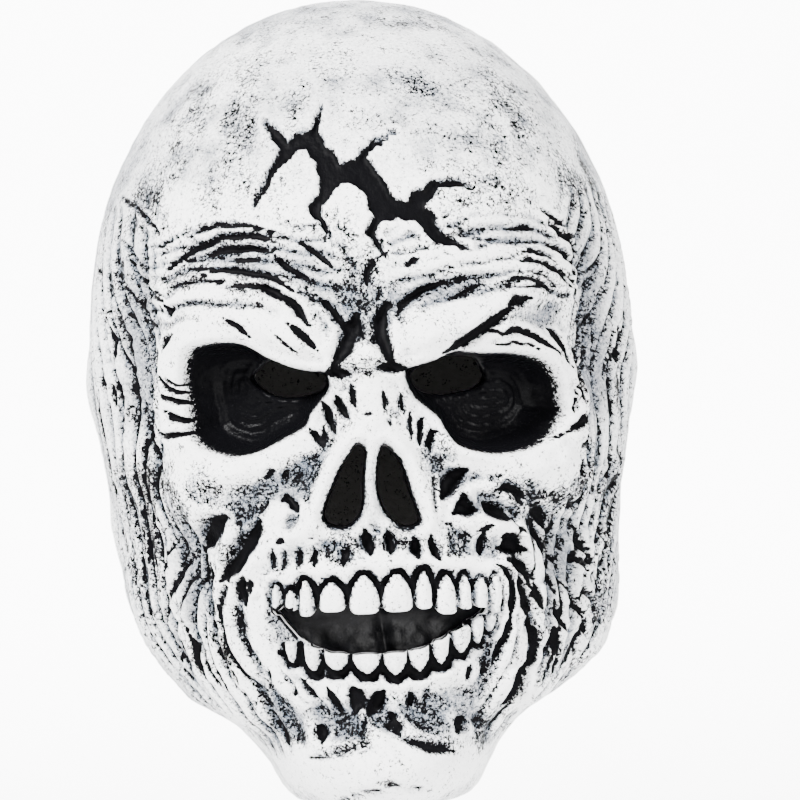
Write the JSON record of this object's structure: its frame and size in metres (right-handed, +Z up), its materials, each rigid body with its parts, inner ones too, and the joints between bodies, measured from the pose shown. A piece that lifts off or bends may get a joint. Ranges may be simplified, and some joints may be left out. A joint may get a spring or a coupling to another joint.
{
  "type": "overhead skull mask",
  "caption": "Full-head skull mask in one hollow latex casting, open at the neck, with deep eye sockets, bared teeth and a dark panel behind the mouth.",
  "frame": {"origin": "inside of the crown, where the top of the wearer's head carries the mask", "axes": "+Z up, the face looks along -Y, +X is the viewer's right when facing the mask"},
  "size_m": [0.1868, 0.2106, 0.2705],
  "materials": {
    "white_latex": "satin white latex with black wash in the grooves",
    "black_panel": "dull black painted latex sheet"
  },
  "bodies": {
    "root": {"mask_shell": "white_latex", "mouth_panel": "black_panel"}
  },
  "joints": []
}
